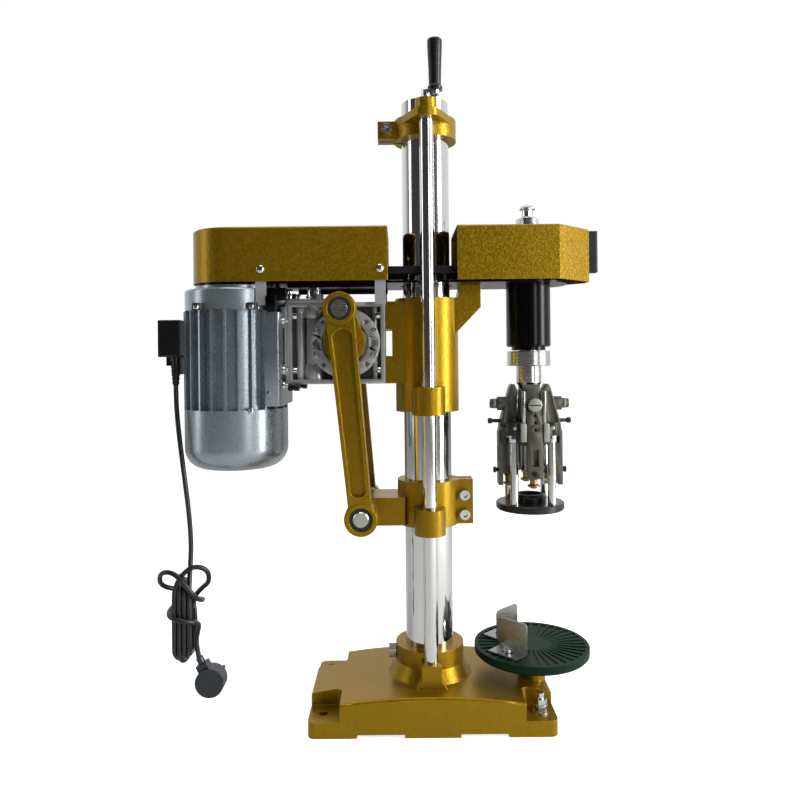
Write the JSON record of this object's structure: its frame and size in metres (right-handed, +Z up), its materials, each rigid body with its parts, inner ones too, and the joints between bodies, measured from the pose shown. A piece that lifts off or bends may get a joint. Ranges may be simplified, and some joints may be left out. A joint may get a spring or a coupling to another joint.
{
  "type": "roll-on pilfer-proof capper",
  "caption": "Bench-top capping machine: a column stand, a crank-driven carriage with motor and worm gearbox, and a spinning head that rolls aluminium caps onto bottles.",
  "frame": {"origin": "on the underside of the base, under the column's axis", "axes": "+X from the motor to the capping head, +Y to the rear, +Z up"},
  "size_m": [0.552, 0.158, 0.83],
  "materials": {
    "gold_enamel": "gold hammered enamel",
    "chrome_plate": "hard chrome, ground",
    "zinc_steel": "bright zinc plate",
    "green_rubber": "moulded rubber",
    "stainless_sheet": "brushed stainless sheet",
    "black_oxide": "black oxide",
    "black_plastic": "moulded black plastic",
    "turned_steel": "fine turned",
    "cast_aluminium": "blasted casting",
    "black_enamel": "black enamel",
    "black_rubber": "rubber",
    "grey_sheet": "grey enamelled sheet",
    "silver_enamel": "silver enamel",
    "lever_steel": "dark phosphated steel",
    "brass": "turned brass"
  },
  "bodies": {
    "stand": {"base_casting": "gold_enamel", "column": "chrome_plate", "base_fasteners": "zinc_steel", "top_bracket": "gold_enamel", "bottle_table": "green_rubber"},
    "front_locator": {"locator_front": "stainless_sheet"},
    "rear_locator": {"locator_rear": "stainless_sheet"},
    "adjuster": {"adjusting_screw": "chrome_plate", "handle_arm": "black_oxide", "grip_pin": "zinc_steel"},
    "grip": {"handle_grip": "black_plastic"},
    "clamp": {"lower_clamp": "gold_enamel", "lower_clamp_screws": "black_oxide", "pivot_pin": "turned_steel"},
    "rods": {"front_link": "gold_enamel", "rear_link": "gold_enamel", "link_bushes": "turned_steel", "crank_pins": "turned_steel"},
    "crank": {"output_shaft": "turned_steel", "crank_arms": "gold_enamel"},
    "carriage": {"carriage_casting": "gold_enamel", "deck_plate": "black_enamel", "left_cover": "gold_enamel", "right_cover": "gold_enamel", "end_pad": "black_rubber", "cover_straps": "grey_sheet", "carriage_fasteners": "zinc_steel", "gearbox_housing": "cast_aluminium", "motor_frame": "silver_enamel", "motor_bell": "silver_enamel", "fan_cover": "silver_enamel", "head_belt": "black_rubber", "gearbox_belt": "black_rubber", "spindle_housing": "black_enamel", "spindle_bearings": "turned_steel", "switch_box": "black_plastic", "cable_gland": "black_plastic", "cord_drop": "black_rubber", "cord_hank": "black_rubber", "cord_tail": "black_rubber", "plug": "black_plastic"},
    "rotor": {"motor_rotor": "turned_steel"},
    "worm": {"worm_input": "turned_steel"},
    "head": {"spindle": "turned_steel", "head_pulley": "cast_aluminium", "spindle_cap": "turned_steel", "head_carrier": "black_oxide", "guide_posts": "chrome_plate", "guide_ring": "black_plastic", "lever_pins": "turned_steel"},
    "cone": {"cone_sleeve": "turned_steel"},
    "block": {"pressure_block": "turned_steel"},
    "right_lever": {"lever_right": "lever_steel"},
    "right_roller": {"roller_right": "brass"},
    "rear_lever": {"lever_rear": "lever_steel"},
    "rear_roller": {"roller_rear": "brass"},
    "left_lever": {"lever_left": "lever_steel"},
    "left_roller": {"roller_left": "brass"},
    "front_lever": {"lever_front": "lever_steel"},
    "front_roller": {"roller_front": "brass"}
  },
  "joints": [
    {"name": "height_adjust", "type": "slide", "parent": "stand", "child": "clamp", "axis": [0, 0, 1], "range_m": [-0.034, 0.03]},
    {"name": "screw_turn", "type": "hinge", "parent": "stand", "child": "adjuster", "pos_m": [0, -0.048, 0.4], "axis": [0, 0, 1], "range_deg": [-3061, 2701]},
    {"name": "grip_spin", "type": "hinge", "parent": "adjuster", "child": "grip", "pos_m": [0.011, -0.048, 0.797], "axis": [0, 0, 1], "continuous": true},
    {"name": "head_stroke", "type": "slide", "parent": "clamp", "child": "carriage", "axis": [0, 0, 1], "range_m": [0, 0.08025]},
    {"name": "crank_turn", "type": "hinge", "parent": "carriage", "child": "crank", "pos_m": [-0.1018, 0, 0.46269], "axis": [0, 1, 0], "range_deg": [0, 181.49]},
    {"name": "rod_swing", "type": "hinge", "parent": "clamp", "child": "rods", "pos_m": [-0.0823, 0, 0.2536], "axis": [0, 1, 0], "range_deg": [0, 1.47]},
    {"name": "head_spin", "type": "hinge", "parent": "carriage", "child": "head", "pos_m": [0.13, 0, 0.53779], "axis": [0, 0, 1], "continuous": true},
    {"name": "motor_spin", "type": "hinge", "parent": "carriage", "child": "rotor", "pos_m": [-0.2436, 0, 0.53779], "axis": [0, 0, 1], "continuous": true},
    {"name": "worm_spin", "type": "hinge", "parent": "carriage", "child": "worm", "pos_m": [-0.142, 0, 0.46269], "axis": [0, 0, 1], "continuous": true},
    {"name": "cone_slide", "type": "slide", "parent": "head", "child": "cone", "axis": [0, 0, -1], "range_m": [0, 0.006], "stiffness_N_per_m": 1500, "springref_m": -0.004},
    {"name": "block_press", "type": "slide", "parent": "head", "child": "block", "axis": [0, 0, 1], "range_m": [0, 0.008], "stiffness_N_per_m": 2000, "springref_m": -0.002},
    {"name": "front_locator_slide", "type": "slide", "parent": "stand", "child": "front_locator", "axis": [0.7314, -0.682, 0], "range_m": [-0.005, 0.005]},
    {"name": "rear_locator_slide", "type": "slide", "parent": "stand", "child": "rear_locator", "axis": [0.7314, 0.682, 0], "range_m": [-0.005, 0.005]},
    {"name": "right_lever_tilt", "type": "hinge", "parent": "head", "child": "right_lever", "pos_m": [0.16, 0, 0.34519], "axis": [0, 1, 0], "range_deg": [0, 3]},
    {"name": "right_roller_spin", "type": "hinge", "parent": "right_lever", "child": "right_roller", "pos_m": [0.156, 0, 0.28919], "axis": [0, 0, 1], "continuous": true},
    {"name": "rear_lever_tilt", "type": "hinge", "parent": "head", "child": "rear_lever", "pos_m": [0.13, 0.03, 0.34519], "axis": [-1, 0, 0], "range_deg": [0, 3]},
    {"name": "rear_roller_spin", "type": "hinge", "parent": "rear_lever", "child": "rear_roller", "pos_m": [0.13, 0.026, 0.28919], "axis": [0, 0, 1], "continuous": true},
    {"name": "left_lever_tilt", "type": "hinge", "parent": "head", "child": "left_lever", "pos_m": [0.1, 0, 0.34519], "axis": [0, -1, 0], "range_deg": [0, 3]},
    {"name": "left_roller_spin", "type": "hinge", "parent": "left_lever", "child": "left_roller", "pos_m": [0.104, 0, 0.28919], "axis": [0, 0, 1], "continuous": true},
    {"name": "front_lever_tilt", "type": "hinge", "parent": "head", "child": "front_lever", "pos_m": [0.13, -0.03, 0.34519], "axis": [1, 0, 0], "range_deg": [0, 3]},
    {"name": "front_roller_spin", "type": "hinge", "parent": "front_lever", "child": "front_roller", "pos_m": [0.13, -0.026, 0.28919], "axis": [0, 0, 1], "continuous": true}
  ],
  "couplings": [
    {"joint": "screw_turn", "follows": "height_adjust", "rad_per_m": 1570.8},
    {"joint": "crank_turn", "follows": "head_stroke", "rad_per_m": 39.467},
    {"joint": "rod_swing", "follows": "head_stroke", "rad_per_m": 0.32023},
    {"joint": "motor_spin", "follows": "head_spin", "ratio": 1},
    {"joint": "worm_spin", "follows": "head_spin", "ratio": 0.5},
    {"joint": "right_lever_tilt", "follows": "cone_slide", "rad_per_m": 8.7266},
    {"joint": "rear_lever_tilt", "follows": "cone_slide", "rad_per_m": 8.7266},
    {"joint": "left_lever_tilt", "follows": "cone_slide", "rad_per_m": 8.7266},
    {"joint": "front_lever_tilt", "follows": "cone_slide", "rad_per_m": 8.7266}
  ]
}
